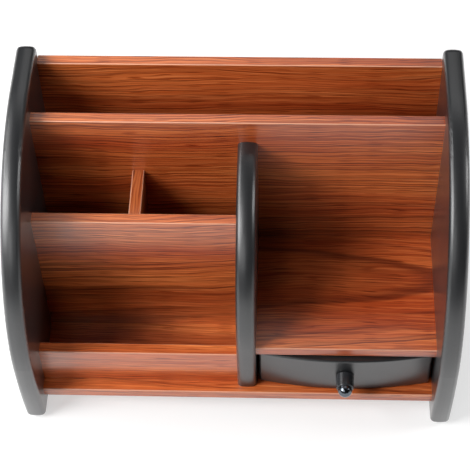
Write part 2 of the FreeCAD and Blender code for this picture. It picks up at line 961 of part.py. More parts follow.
knob_bore = dim.knob_screw_diameter / 2 + dim.screw_gap
knob_socket = dim.knob_spigot_diameter / 2 + dim.screw_gap
socket_floor = dim.knob_length - dim.knob_spigot_length - dim.dowel_end_gap
knob_shoulder = dim.knob_shoulder_diameter / 2
knob_end = dim.knob_end_diameter / 2
knob_edge = dim.knob_edge_radius
knob = turned(
    "drawer_knob",
    [
        (knob_bore, 0),
        (knob_shoulder - knob_edge, 0),
        (knob_shoulder, knob_edge, knob_edge),
        (knob_end, dim.knob_length - knob_edge),
        (knob_end - knob_edge, dim.knob_length, knob_edge),
        (knob_socket, dim.knob_length),
        (knob_socket, socket_floor),
        (knob_bore, socket_floor),
    ],
)
place(knob, drawer_middle, knob_seat, knob_height, rotation=TO_FRONT)
keep("drawer_knob", knob)

cap_radius = dim.knob_cap_diameter / 2
spigot_radius = dim.knob_spigot_diameter / 2
dome_radius = sagitta_radius(cap_radius, dim.knob_cap_length - dim.knob_cap_straight)
knob_cap = turned(
    "knob_cap",
    [
        (0, -dim.knob_spigot_length),
        (spigot_radius, -dim.knob_spigot_length),
        (spigot_radius, 0),
        (cap_radius, 0),
        (cap_radius, dim.knob_cap_straight),
        (0, dim.knob_cap_length, dome_radius),
    ],
)
place(knob_cap, drawer_middle, knob_seat - dim.knob_length, knob_height, rotation=TO_FRONT)
keep("knob_cap", knob_cap)

knob_screw = screw(
    "knob_screw",
    dim.knob_screw_diameter,
    dim.knob_screw_head_diameter,
    dim.knob_screw_head_height,
    dim.drawer_front_thickness + dim.drawer_front_bow + dim.knob_screw_bite,
    dim.screw_point_length,
)
place(knob_screw, drawer_middle, drawer_front_back, knob_height, rotation=TO_FRONT)
keep("knob_screw", knob_screw)


# Dowels


def dowel(name, diameter, length):
    """Round pin along +Z with chamfered ends."""
    radius = diameter / 2
    nose = radius - dim.dowel_chamfer
    return turned(
        name,
        [
            (0, 0),
            (nose, 0),
            (radius, dim.dowel_chamfer),
            (radius, length - dim.dowel_chamfer),
            (nose, length),
            (0, length),
        ],
    )


panel_dowel = dowel("panel_dowel", dim.dowel_diameter, dim.dowel_length)
drawer_dowel = dowel("drawer_dowel", dim.drawer_dowel_diameter, dim.drawer_dowel_length)
dowels(
    "side_dowels",
    panel_dowel,
    base_left_joint,
    base_right_joint,
    back_left_joint,
    back_right_joint,
    rear_left_joint,
    rear_right_joint,
    front_left_joint,
    low_left_joint,
    tray_right_joint,
)
dowels(
    "centre_dowels",
    panel_dowel,
    front_right_joint,
    low_right_joint,
    tray_left_joint,
    centre_rear_joint,
    centre_base_joint,
)
dowels("pen_divider_dowels", panel_dowel, pen_front_joint, pen_rear_joint)
dowels("drawer_dowels", drawer_dowel, *drawer_corner_joints.values(), *drawer_back_joints.values())


# Swivel: screws, disc and pads

hole_reach = dim.plate_width / 2 - dim.plate_hole_inset


def corner_places(reach, z):
    """Four places at the corners of a square round the axis."""
    return [(reach * side, reach * end, z) for side in (-1, 1) for end in (-1, 1)]


class ScrewHoles:
    """Pilot holes for the four screws of a swivel plate, from z into the wood."""

    def __init__(self, name, z, rotation):
        self.drills = []
        for number, start in enumerate(corner_places(hole_reach, z), 1):
            drill = doc.addObject("Part::Cylinder", f"{name}_{number}")
            bind(drill, "Radius", dim.screw_diameter / 2 + dim.screw_gap)
            bind(drill, "Height", dim.screw_length - dim.plate_gauge + dim.dowel_end_gap)
            place(drill, *start, rotation=rotation)
            self.drills.append(drill)


upper_holes = ScrewHoles("upper_pilot", base_bottom, TO_Z)
lower_holes = ScrewHoles("lower_pilot", bearing_bottom, TURNED_OVER)

base_blank = level_blank(
    "base_blank", left_inner, base_front, base_bottom, dim.inner_width, back_front - base_front
)
drilled(
    "base_board", base_blank, base_left_joint, base_right_joint, centre_base_joint, upper_holes
)


swivel_screw = screw(
    "swivel_screw",
    dim.screw_diameter,
    dim.screw_head_diameter,
    dim.screw_head_height,
    dim.screw_length,
    dim.screw_point_length,
)
upper_seats = corner_places(hole_reach, base_bottom - dim.plate_gauge)
lower_seats = corner_places(hole_reach, bearing_bottom + dim.plate_gauge)
copies("upper_plate_screws", swivel_screw, [(seat, TO_Z) for seat in upper_seats])
copies("lower_plate_screws", swivel_screw, [(seat, TURNED_OVER) for seat in lower_seats])

# The access hole lets a driver reach the upper plate's screws once the disc is on
disc_blank = new_body("foot_disc_blank")
disc_radius = dim.disc_diameter / 2
primitive(disc_blank, "AdditiveCylinder", "disc_board", Radius=disc_radius, Height=dim.disc_thickness)
disc_rims = [{"Z": 0}, {"Z": dim.disc_thickness}]
round_over(disc_blank, "disc_rims", dim.disc_edge_radius, disc_rims)
primitive(
    disc_blank,
    "SubtractiveCylinder",
    "disc_access_hole",
    x=hole_reach * math.sqrt(2),
    Radius=dim.access_hole_diameter / 2,
    Height=dim.disc_thickness,
)
place(disc_blank, 0, 0, disc_bottom)
drilled("foot_disc", disc_blank, lower_holes)

foot_pad = new_body("foot_pad")
pad_radius = dim.pad_diameter / 2
primitive(foot_pad, "AdditiveCylinder", "pad_block", Radius=pad_radius, Height=dim.pad_thickness)
round_over(foot_pad, "pad_edge", dim.pad_edge_radius, [{"Z": 0}])
pad_places = corner_places(dim.pad_circle_radius / math.sqrt(2), 0)
copies("foot_pads", foot_pad, [(start, TO_Z) for start in pad_places])


# Swivel: bearing

groove_inner = dim.ball_diameter / 2 + dim.ball_gap
groove_outer = groove_inner + dim.plate_gauge
ball_height = dim.bearing_height / 2
dish_top = dim.plate_dish_depth + dim.plate_gauge


def groove_half_width(radius, height):
    """Half the width of a round groove about the balls, where it meets a plane at a height."""
    drop = ball_height - height
    return root_of(radius * radius - drop * drop)


def swivel_plate(node, z, rotation):
    """Pressed square plate: flange, raised dish, and a ball groove in the dish."""
    body = new_body(node)
    half = dim.plate_width / 2
    gauge = dim.plate_gauge
    primitive(
        body,
        "AdditiveBox",
        f"{node}_flange",
        x=-half,
        y=-half,
        Length=dim.plate_width,
        Width=dim.plate_width,
        Height=gauge,
    )
    corners = [{"X": half * side, "Y": half * end} for side in (-1, 1) for end in (-1, 1)]
    round_over(body, f"{node}_corners", dim.plate_corner_radius, corners)
    dish = dim.plate_dish_radius
    primitive(body, "SubtractiveCylinder", f"{node}_mouth", Radius=dish, Height=gauge)
    for number, (x, y, z_hole) in enumerate(corner_places(hole_reach, 0), 1):
        name = f"{node}_hole_{number}"
        hole_radius = dim.plate_hole_diameter / 2
        primitive(body, "SubtractiveCylinder", name, x=x, y=y, Radius=hole_radius, Height=gauge)
    bore = dim.eyelet_diameter / 2 + dim.eyelet_gap
    track = dim.track_radius
    under = groove_half_width(groove_outer, dim.plate_dish_depth)
    over = groove_half_width(groove_inner, dish_top)
    section = [
        (bore, dim.plate_dish_depth),
        (track - under, dim.plate_dish_depth),
        (track + under, dim.plate_dish_depth, groove_outer),
        (dish - gauge, dim.plate_dish_depth),
        (dish - gauge, 0),
        (dish + gauge, 0),
        (dish + gauge, gauge),
        (dish, gauge),
        (dish, dish_top),
        (track + over, dish_top),
        (track - over, dish_top, groove_inner, "right"),
        (bore, dish_top),
    ]
    sketch = outline(body, f"{node}_section", "XZ_Plane", section)
    pressing = body.newObject("PartDesign::Revolution", f"{node}_dish")
    pressing.Profile = sketch
    pressing.ReferenceAxis = (sketch, ["V_Axis"])
    pressing.Angle = 360
    doc.recompute()
    place(body, 0, 0, z, rotation=rotation)
    keep(node, body)


swivel_plate("lower_swivel_plate", bearing_bottom, TO_Z)
swivel_plate("upper_swivel_plate", base_bottom, TURNED_OVER)

ball = doc.addObject("Part::Sphere", "ball")
bind(ball, "Radius", dim.ball_diameter / 2)
ball_count = int(dim.ball_count.number)
ball_turns = [math.tau * number / ball_count for number in range(ball_count)]
ball_level = bearing_bottom + ball_height
ball_places = [
    (dim.track_radius * math.cos(turn), dim.track_radius * math.sin(turn), ball_level)
    for turn in ball_turns
]
copies("swivel_balls", ball, [(start, TO_Z) for start in ball_places])

cage = new_body("ball_cage")
cage_rings = circles(
    cage,
    "cage_rings",
    "XY_Plane",
    (0, dim.track_radius + dim.cage_width / 2),
    (0, dim.track_radius - dim.cage_width / 2),
)
pad(cage, "cage_ring", cage_rings, dim.cage_thickness)
pocket_circle = circles(
    cage, "cage_pocket_circle", "XY_Plane", (dim.track_radius, dim.ball_diameter / 2 + dim.cage_pocket_gap)
)
cage_pocket = cage.newObject("PartDesign::Pocket", "cage_pocket")
cage_pocket.Profile = pocket_circle
cage_pocket.Type = "ThroughAll"
cage_pocket.Reversed = True
cage_pockets = cage.newObject("PartDesign::PolarPattern", "cage_pockets")
cage_pockets.Originals = [cage_pocket]
cage_axis = next(item for item in cage.Origin.OriginFeatures if item.Role == "Z_Axis")
cage_pockets.Axis = (cage_axis, [""])
cage_pockets.Angle = 360
bind(cage_pockets, "Occurrences", dim.ball_count)
cage.Tip = cage_pockets
place(cage, 0, 0, ball_level - dim.cage_thickness / 2)
keep("ball_cage", cage)

flange = dim.eyelet_flange_diameter / 2
tube = dim.eyelet_diameter / 2
flange_thickness = dim.eyelet_flange_thickness
grip = dim.bearing_height - dim.plate_dish_depth * 2 + dim.eyelet_gap * 2
eyelet_length = grip + flange_thickness * 2
eyelet = turned(
    "swivel_eyelet",
    [
        (tube - dim.eyelet_wall, 0),
        (flange, 0),
        (flange, flange_thickness),
        (tube, flange_thickness),
        (tube, flange_thickness + grip),
        (flange, flange_thickness + grip),
        (flange, eyelet_length),
        (tube - dim.eyelet_wall, eyelet_length),
    ],
)
place(eyelet, 0, 0, bearing_bottom + dim.plate_dish_depth - flange_thickness)
keep("swivel_eyelet", eyelet)


# Check every feature and every piece, then write the pieces

doc.recompute()
for feature in doc.Objects:
    if "Invalid" in feature.State or "Error" in feature.State:
        raise RuntimeError(f"{feature.Name} failed: {feature.State}")
for node, feature in nodes.items():
    if feature.Shape.isNull() or not feature.Shape.isValid():
        raise RuntimeError(f"{node} has no valid shape")

os.makedirs("parts", exist_ok=True)
for node, feature in nodes.items():
    feature.Shape.exportStep(f"parts/{node}.step")
    print(f"{node}: {len(feature.Shape.Solids)} solids, {feature.Shape.Volume / 1000:.2f} cm3")
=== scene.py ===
# %% [markdown]
# # A rotating desk organiser in cherry foil and black lacquer
#
# The organiser is flat boards between two black side panels. The boards are wood-fibre board
# wrapped in a printed cherry foil; the panels are the same board, rounded over and lacquered
# black. Under it a low ball-bearing swivel lets the whole thing turn on a small round foot,
# and one shallow drawer slides out at the front on the right.
#
# The shapes were drawn in CAD and arrive here as finished meshes, one per piece. This lesson
# gives each of them the surface it has on the real object, then lights and frames them.

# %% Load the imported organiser
import math

import bpy
from mathutils import Matrix, Vector

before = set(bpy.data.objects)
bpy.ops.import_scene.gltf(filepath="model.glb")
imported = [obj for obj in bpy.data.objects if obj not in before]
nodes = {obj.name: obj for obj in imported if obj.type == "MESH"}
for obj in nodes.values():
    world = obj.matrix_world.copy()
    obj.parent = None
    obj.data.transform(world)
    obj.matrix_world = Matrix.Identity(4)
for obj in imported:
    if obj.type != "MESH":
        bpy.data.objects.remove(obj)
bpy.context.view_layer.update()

print("pieces from CAD:", len(nodes))

# %% [markdown]
# ## The camera
#
# A product camera on a tall stand looks down into the bays at almost 53 degrees from a little
# over a metre, through a long lens. The long lens keeps the boards' edges nearly parallel. A
# camera can be aimed with a Track To constraint, but that can't hold a small roll about the
# line of sight, so the three camera axes are worked out and written into its matrix.

# %% Place the camera
EYE = Vector((0.03969, -0.67921, 1.01495))
AIM = Vector((0.00048, -0.0196, 0.14791))
ROLL = math.radians(-1.98)
SENSOR = 36.0  # its width, in millimetres
LENS = 114.93  # focal length, in millimetres
SHIFT = -0.0033  # sideways, in widths of the picture
NEAREST = 0.05  # metres

forward = (AIM - EYE).normalized()
level_right = forward.cross(Vector((0, 0, 1))).normalized()
level_up = level_right.cross(forward)
right = math.cos(ROLL) * level_right + math.sin(ROLL) * level_up
up = math.cos(ROLL) * level_up - math.sin(ROLL) * level_right

camera_data = bpy.data.cameras.new("camera")
camera_data.sensor_width = SENSOR
camera_data.lens = LENS
camera_data.shift_x = SHIFT
camera_data.clip_start = NEAREST
camera = bpy.data.objects.new("camera", camera_data)
camera.matrix_world = Matrix(
    [[right[i], up[i], -forward[i], EYE[i]] for i in range(3)] + [[0, 0, 0, 1]]
)
bpy.context.scene.collection.objects.link(camera)
bpy.context.scene.camera = camera
print("camera looks down by", round(math.degrees(math.asin(-forward.z)), 1), "degrees")

# %% [markdown]
# ## Two small tools for materials
#
# Paint and print colours are known as sRGB hex values, but Blender mixes light in linear
# numbers, so one function turns the first into the second. Another adds a shader node, sets
# its options and fills its inputs, with a value or with the output of another node. With
# these two a material reads from top to bottom like a recipe.
#
# The Mix node is the one awkward case. It mixes numbers, vectors or colours and keeps sockets
# for all three under the same names, so its colour sockets are reached by their places.

# %% Colour and node tools
COLOUR_A, COLOUR_B, MIXED = 6, 7, 2


def linear(hex_code):
    """The linear colour, fully opaque, of an sRGB hex value such as 'C8742F'."""
    srgb = [int(hex_code[i : i + 2], 16) / 255 for i in (0, 2, 4)]
    rgb = [c / 12.92 if c <= 0.04045 else ((c + 0.055) / 1.055) ** 2.4 for c in srgb]
    return (*rgb, 1.0)


def add(material, kind, inputs=None, **settings):
    """Adds a node of that kind, with its settings, and fills or links its named inputs."""
    tree = material.node_tree
    made = tree.nodes.new("ShaderNode" + kind)
    for name, value in settings.items():
        setattr(made, name, value)
    for name, value in (inputs or {}).items():
        if isinstance(value, bpy.types.NodeSocket):
            tree.links.new(value, made.inputs[name])
        else:
            made.inputs[name].default_value = value
    return made


print("linear numbers of a mid brown:", [round(c, 3) for c in linear("A85A32")[:3]])

# %% [markdown]
# ## From a node tree to a piece
#
# Every finish below starts from an empty node tree and ends in one output, and then goes onto
# the pieces that have it. The CAD meshes arrive with material slots already on their faces,
# so a piece is dressed by filling those slots and its mesh stays as it came.

# %% Start, finish and wear a material
def new_material(name):
    """An empty material, ready for its nodes."""
    material = bpy.data.materials.new(name)
    material.use_nodes = True
    material.node_tree.nodes.clear()
    return material


def show(material, shader):
    """Ends the tree: the shader goes to the material's output."""
    add(material, "OutputMaterial", {"Surface": shader})
    return material


def dress(names, material):
    """Puts the material on these CAD pieces."""
    for name in names:
        for held in nodes[name].material_slots:
            held.material = material
    print(material.name, "on", len(names), "piece(s)")


# %% [markdown]
# ## Cherry foil: one sheet round each board
#
# The boards are medium-density fibreboard, 9 mm thick, wrapped in a thin paper foil. A cherry
# veneer is printed on it and a clear satin lacquer closes it, so nothing of the grain can be
# felt. A printed foil could be a picture mapped on the board, but a picture stretches where
# it turns an edge. Here the print is worked out from the place of each point instead.
#
# Two lengths are enough. One runs along the grain. The other is the girth: how far round the
# board a point lies, which is simply the two remaining coordinates added up. On a face one of
# them changes and on the edge the other, so lines carry on over the rounded edge as they do
# on wrapped foil.

# %% The sheet's two lengths
def sheet_lengths(foil, along):
    """Returns the sockets of the length along the grain and of the girth across it."""
    place = add(foil, "TexCoord")
    axes = add(foil, "SeparateXYZ", {"Vector": place.outputs["Object"]})
    across = "Y" if along == "X" else "X"
    girth = add(
        foil, "Math", {0: axes.outputs[across], 1: axes.outputs["Z"]}, operation="ADD"
    )
    return axes.outputs[along], girth.outputs[0]


def noise_over(foil, length, girth, cells, detail=2.0, roughness=0.5):
    """Noise stretched over the sheet, with so many cells per metre along it and across it."""
    along = add(foil, "Math", {0: length, 1: cells[0]}, operation="MULTIPLY")
    across = add(foil, "Math", {0: girth, 1: cells[1]}, operation="MULTIPLY")
    spot = add(foil, "CombineXYZ", {"X": along.outputs[0], "Y": across.outputs[0]})
    grain = add(
        foil, "TexNoise",
        {"Vector": spot.outputs[0], "Scale": 1.0, "Detail": detail, "Roughness": roughness},
        noise_dimensions="2D",
    )
    return grain.outputs["Fac"]


# %% [markdown]
# ## Growth rings
#
# A plain-sawn board cuts the trunk's rings beside its heart. Near the middle of the sheet the
# cut runs almost along the rings and they open into tall arches; further out they close up
# into straight lines. That is the picture of a cone cut by a plane, and the ring that a point
# lies in follows from three lengths: how far across the sheet it is from the heart line, how
# deep the heart lies under the sheet, and how fast the trunk tapers along the grain.
#
# The wave texture has rings of its own, but they come out evenly spaced, which no tree
# manages. So the ring number is worked out here. A tree adds about as much wood each year, so
# its rings are wide near the heart and narrow further out, and the number grows with the
# square of the radius. The girth is first pushed about by a slow and a quick noise, and the
# widths are made uneven by a noise that only knows the ring number.

# %% Which ring a point lies in
MM = 0.001
SLOW_CELLS = (6, 20)  # waves of about 170 mm by 50 mm
SWAY = 4 * MM
QUICK_CELLS = (34, 90)  # waves of about 30 mm by 11 mm
SHIVER = 0.7 * MM
SPELLS = 0.45  # spells of good or poor growth per ring, so about two rings share one


def ring_numbers(foil, length, girth, heart, depth, taper, spread, start):
    """Returns the sockets of the ring number and of the girth after it has wandered."""
    slow = noise_over(foil, length, girth, SLOW_CELLS, detail=1.5)
    sway = add(foil, "MapRange", {"Value": slow, "From Min": 0.2, "From Max": 0.8,
                                  "To Min": -SWAY, "To Max": SWAY})
    quick = noise_over(foil, length, girth, QUICK_CELLS, detail=1.0)
    shiver = add(foil, "MapRange", {"Value": quick, "From Min": 0.2, "From Max": 0.8,
                                    "To Min": -SHIVER, "To Max": SHIVER})
    swayed = add(foil, "Math", {0: girth, 1: sway.outputs[0]}, operation="ADD")
    wandering = add(
        foil, "Math", {0: swayed.outputs[0], 1: shiver.outputs[0]}, operation="ADD"
    )

    aside = add(foil, "Math", {0: wandering.outputs[0], 1: heart}, operation="SUBTRACT")
    squared = add(
        foil, "Math", {0: aside.outputs[0], 1: aside.outputs[0], 2: depth * depth},
        operation="MULTIPLY_ADD",
    )
    radius = add(foil, "Math", {0: squared.outputs[0]}, operation="SQRT")
    tapered = add(
        foil, "Math", {0: length, 1: -taper, 2: radius.outputs[0]}, operation="MULTIPLY_ADD"
    )
    area = add(
        foil, "Math", {0: tapered.outputs[0], 1: tapered.outputs[0]}, operation="MULTIPLY"
    )
    even = add(
        foil, "Math", {0: area.outputs[0], 1: 1 / spread, 2: start}, operation="MULTIPLY_ADD"
    )
    growth = add(
        foil, "TexNoise", {"W": even.outputs[0], "Scale": SPELLS, "Detail": 1.0},
        noise_dimensions="1D",
    )
    number = add(
        foil, "Math", {0: growth.outputs["Fac"], 1: even.outputs[0]}, operation="ADD"
    )
    return number.outputs[0], wandering.outputs[0]


# %% [markdown]
# ## The folded edges carry a painted highlight
#
# Along the 1 mm rounding of each edge the print is mixed towards a pale colour. This is a
# painted
# highlight: the thin bright line that a lamp draws on a rounded edge. It could be painted
# along edge curves, but the surface itself already knows where it is: only on the rounding
# does the normal lean both across the board and up. Four times the product of the two squares
# is 1 halfway round and 0 on the flats.

# %% Where the foil is folded
# How strongly the painted highlight pales the rounded edges.
EDGE_HIGHLIGHT_STRENGTH = 0.7


def folded_edges(foil, along):
    """Returns a socket that is 1 in the middle of a rounded edge and 0 on the faces."""
    facing = add(foil, "TexCoord").outputs["Normal"]
    lean = add(foil, "SeparateXYZ", {"Vector": facing})
    across = "Y" if along == "X" else "X"
    product = add(
        foil, "Math", {0: lean.outputs[across], 1: lean.outputs["Z"]}, operation="MULTIPLY"
    )
    doubled = add(foil, "Math", {0: product.outputs[0], 1: 2.0}, operation="MULTIPLY")
    squared = add(foil, "Math", {0: doubled.outputs[0], 1: 2.0}, operation="POWER")
    return squared.outputs[0]


# %% [markdown]
# ## Dark lines
#
# Each ring starts light, darkens slowly and ends in a thin dark line, the late wood of one
# summer. A colour ramp over the fraction of the ring number gives that line its soft side and
# its sharp side. The lines must not all be equally strong, so a noise that reads the whole
# number of the ring, and a little of the length, fades some of them almost away. A second
# noise draws finer threads between them, which follow the rings as well.

# %% Late wood
# How dark the print is along one ring, as pairs of a place in the ring and a grey.
RING_PROFILE = ((0.0, 0.1), (0.08, 0.0), (0.70, 0.07), (0.86, 1.0), (0.93, 0.9), (1.0, 0.1))
RING_STEP = 0.037  # metres that the noise moves on from one ring to the next
VIGOUR_CELLS = (3.5, 200)  # a line swells and fades over about 290 mm
THREAD_CELLS = (2.6, 2.7)  # threads about 380 mm long, nearly three to a ring


def late_wood(foil, length, ring, contrast):
    """Returns a socket that is 1 on the darkest lines of the print and 0 between them."""
    part = add(foil, "Math", {0: ring}, operation="FRACT")
    profile = add(foil, "ValToRGB", {"Fac": part.outputs[0]})
    stops = profile.color_ramp.elements
    for place, _ in RING_PROFILE[1:-1]:
        stops.new(place)
    for stop, (_, grey) in zip(stops, RING_PROFILE):
        stop.color = (grey, grey, grey, 1)

    whole = add(foil, "Math", {0: ring}, operation="FLOOR")
    summer = add(foil, "Math", {0: whole.outputs[0], 1: RING_STEP}, operation="MULTIPLY")
    vigour = noise_over(foil, length, summer.outputs[0], VIGOUR_CELLS, detail=1.0)
    strength = add(foil, "MapRange", {"Value": vigour, "From Min": 0.34, "From Max": 0.66,
                                      "To Min": 0.12 * contrast, "To Max": 0.95 * contrast})
    line = add(
        foil, "Math", {0: profile.outputs[0], 1: strength.outputs[0]}, operation="MULTIPLY"
    )
    threads = noise_over(foil, length, ring, THREAD_CELLS)
    thread = add(foil, "MapRange", {"Value": threads, "From Min": 0.5, "From Max": 0.72,
                                    "To Min": 0.0, "To Max": 0.7 * contrast})
    dark = add(foil, "Math", {0: line.outputs[0], 1: thread.outputs[0]}, operation="MAXIMUM")
    return dark.outputs[0]


# %% [markdown]
# ## Fibres and pores
#
# Over the rings lie fine fibres and the thin dark dashes of open pores. The real fibres and
# pores are about 0.2 mm wide. Here they are drawn three to six times coarser, so that they
# show. Almost all values of a noise lie between 0.3 and 0.7, so that is the range which is
# spread over the wanted strengths.

# %% Fibre and pore noise
FIBRE_CELLS = (11, 760)  # strokes of about 90 mm by 1.3 mm, with finer ones inside them
PORE_CELLS = (45, 1500)  # dashes of about 20 mm by 0.7 mm
NOISE_LOW, NOISE_HIGH = 0.3, 0.7


def fibres_and_pores(foil, length, girth):
    """Returns the sockets of the bare fibre noise and of the grain, which is 1 on average."""
    fibres = noise_over(foil, length, girth, FIBRE_CELLS, roughness=0.55)
    fibre = add(foil, "MapRange", {"Value": fibres, "From Min": NOISE_LOW,
                                   "From Max": NOISE_HIGH, "To Min": 0.84, "To Max": 1.16})
    pores = noise_over(foil, length, girth, PORE_CELLS, detail=0.0)
    pore = add(foil, "MapRange", {"Value": pores, "From Min": 0.68, "From Max": 0.8,
                                  "To Min": 1.0, "To Max": 0.6})
    grain = add(
        foil, "Math", {0: fibre.outputs[0], 1: pore.outputs[0]}, operation="MULTIPLY"
    )
    return fibres, grain.outputs[0]


# %% [markdown]
# ## Ink and lacquer
#
# Under the lines lie broad bands of a redder and a lighter ground. The grain then deepens or
# thins the ink. Brown ink loses its yellow before its red as it gets denser, so a gamma that
# rises a little in the dark fibres turns them redder and leaves the light ones golden.
#
# The lacquer is a clear coat over the ink. A coat of weight 1 and IOR 1.5 mirrors 4 % of the
# light straight on and much more at a flat angle, which gives the pale sheen on the upright
# faces. Its numbers stand on the shader itself, because they are the same all over the sheet.

# %% The foil's colours and bands
CHERRY_LIGHT = "DD783C"
CHERRY_RED = "B64C20"
CHERRY_LATE = "64200C"
# The pale colour of the painted highlight on the rounded edges.
CHERRY_EDGE_HIGHLIGHT = "F5C0A2"
BAND_CELLS = (2.2, 34)  # bands of about 450 mm by 30 mm
print("light cherry ink, linear:", [round(c, 3) for c in linear(CHERRY_LIGHT)[:3]])


# %% The foil
def cherry_foil(name, along, heart, depth, taper, spread, start, contrast, tone):
    """Printed cherry foil with its ring pattern placed on the board."""
    foil = new_material(name)
    length, girth = sheet_lengths(foil, along)
    ring, wandering = ring_numbers(foil, length, girth, heart, depth, taper, spread, start)
    dark = late_wood(foil, length, ring, contrast)
    fibres, grain = fibres_and_pores(foil, length, wandering)

    bands = noise_over(foil, length, wandering, BAND_CELLS)
    band = add(foil, "MapRange", {"Value": bands, "From Min": NOISE_LOW,
                                  "From Max": NOISE_HIGH})
    ground = add(
        foil, "Mix",
        {0: band.outputs[0], COLOUR_A: linear(CHERRY_RED), COLOUR_B: linear(CHERRY_LIGHT)},
        data_type="RGBA",
    )
    ringed = add(
        foil, "Mix",
        {0: dark, COLOUR_A: ground.outputs[MIXED], COLOUR_B: linear(CHERRY_LATE)},
        data_type="RGBA",
    )
    # The tone darkens or lightens the whole board: painted light and shade besides the print's
    # own tone.
    ink_density_and_light = add(foil, "Math", {0: grain, 1: tone}, operation="MULTIPLY")
    inked = add(
        foil, "HueSaturation", {"Color": ringed.outputs[MIXED], "Value": ink_density_and_light.outputs[0]}
    )
    redden = add(foil, "MapRange", {"Value": grain, "From Min": 0.8, "From Max": 1.2,
                                    "To Min": 1.18, "To Max": 0.82})
    warmed = add(foil, "Gamma", {"Color": inked.outputs[0], "Gamma": redden.outputs[0]})
    # Painted highlight: on the rounded edges the print is mixed towards a pale colour.
    edge_highlight_mask = add(
        foil, "Math", {0: folded_edges(foil, along), 1: EDGE_HIGHLIGHT_STRENGTH}, operation="MULTIPLY"
    )
    edge_highlighted = add(
        foil, "Mix",
        {0: edge_highlight_mask.outputs[0], COLOUR_A: warmed.outputs[0], COLOUR_B: linear(CHERRY_EDGE_HIGHLIGHT)},
        data_type="RGBA",
    )

    gloss = add(foil, "MapRange", {"Value": fibres, "From Min": NOISE_LOW,
                                   "From Max": NOISE_HIGH, "To Min": 0.36, "To Max": 0.29})
    press = add(foil, "Bump", {"Height": grain, "Strength": 0.08, "Distance": 0.05 * MM})
    shader = add(
        foil, "BsdfPrincipled",
        {"Base Color": edge_highlighted.outputs[MIXED], "Roughness": gloss.outputs[0], "IOR": 1.5,
         "Normal": press.outputs[0], "Coat Weight": 1.0, "Coat Roughness": 0.22,
         "Coat IOR": 1.5},
    )
    return show(foil, shader.outputs[0])


# %% [markdown]
# ## One print place for each board
#
# Every board was cut from another part of the long foil, so each gets its own heart line,
# depth and taper, in metres. Spread is the square of the first ring's radius, so a larger one
# sets all the lines further apart. The tray lies close to a heart and shows arches that open
# to the left. The upright dividers come from the edge of the print, where the lines run
# straight. Contrast says how strongly the lines are printed. Tone scales how light the whole
# stretch of ink is, below 1 for a darker board. Besides the print's own tone it carries
# painted
# light and shade: the pen divider is darkened as shade would darken it, and the low front
# wall, the tray and the base board are lightened as more light would lighten them.

# %% Foil on the boards
BOARDS = {
    # piece: grain axis, heart line, depth of the heart, taper, spread, first ring, contrast,
    # tone with painted light and shade
    "back_panel": ("X", -0.350, 0.020, 0.012, 3.6e-3, 0.0, 1.0, 1.0),
    "rear_divider": ("X", -0.400, 0.020, 0.010, 3.9e-3, 0.3, 1.2, 0.97),
    "front_divider": ("X", 0.013, 0.022, 0.060, 1.0e-3, 0.2, 1.0, 1.0),
    "low_front_wall": ("X", -0.400, 0.020, 0.010, 2.6e-3, 0.0, 0.5, 1.2),
    "tray_board": ("X", 0.070, 0.032, -0.075, 1.18e-3, 0.79, 0.85, 1.1),
    "base_board": ("X", 0.000, 0.030, 0.070, 1.0e-3, 0.0, 0.6, 1.1),
    "pen_divider": ("Y", 0.400, 0.020, 0.010, 1.2e-3, 0.0, 0.35, 0.7),
    "drawer_left_side": ("Y", 0.300, 0.020, 0.010, 2.0e-3, 0.0, 0.9, 1.0),
    "drawer_right_side": ("Y", 0.400, 0.020, 0.010, 2.4e-3, 0.0, 0.9, 1.0),
    "drawer_back": ("X", 0.300, 0.020, 0.010, 2.0e-3, 0.0, 0.9, 1.0),
}

for board, print_place in BOARDS.items():
    dress([board], cherry_foil("cherry_foil_" + board, *print_place))

# %% [markdown]
# ## Black satin lacquer
#
# The side panels, the centre panel, the drawer front and the foot disc are fibreboard with
# milled edges, sprayed with a black satin lacquer. Black paint is not black: it returns about
# 1.5 % of the light, and what the eye reads is its sheen, a wide soft highlight along the
# rounded rims. A clear top coat, as satin as the black under it, strengthens that sheen.
# Sprayed lacquer also keeps a faint orange peel, some dust under the last coat, and slightly
# duller and glossier clouds where it flowed out more or less.
#
# A single roughness would give a clean plastic look. So the roughness drifts with a broad
# noise, a fine noise raises the surface by a few hundredths of a millimetre, and faint pale
# specks stand for the dust. Real specks are 0.1 to 0.2 mm across; these are drawn at 0.5 mm,
# so that they show.
#
# The rims of the three upright panels are sanded rounder than the shallow crown of their
# meshes. Displacing the mesh would change the piece itself. A bump can't: it falls away from
# the panel's middle plane with the square of the distance, which turns the light as a rounder
# rim would, and it does nothing on the flat sides, where that distance stays the same.

# %% Black satin lacquer
RIM_RADIUS = 20 * MM
CLOUDS = 26.0  # cells per metre: clouds about 40 mm across
SPECKS = 620.0  # cells per metre: one speck in each cube of 1.6 mm
PEEL = 520.0  # cells per metre: bumps about 2 mm across, as in real orange peel


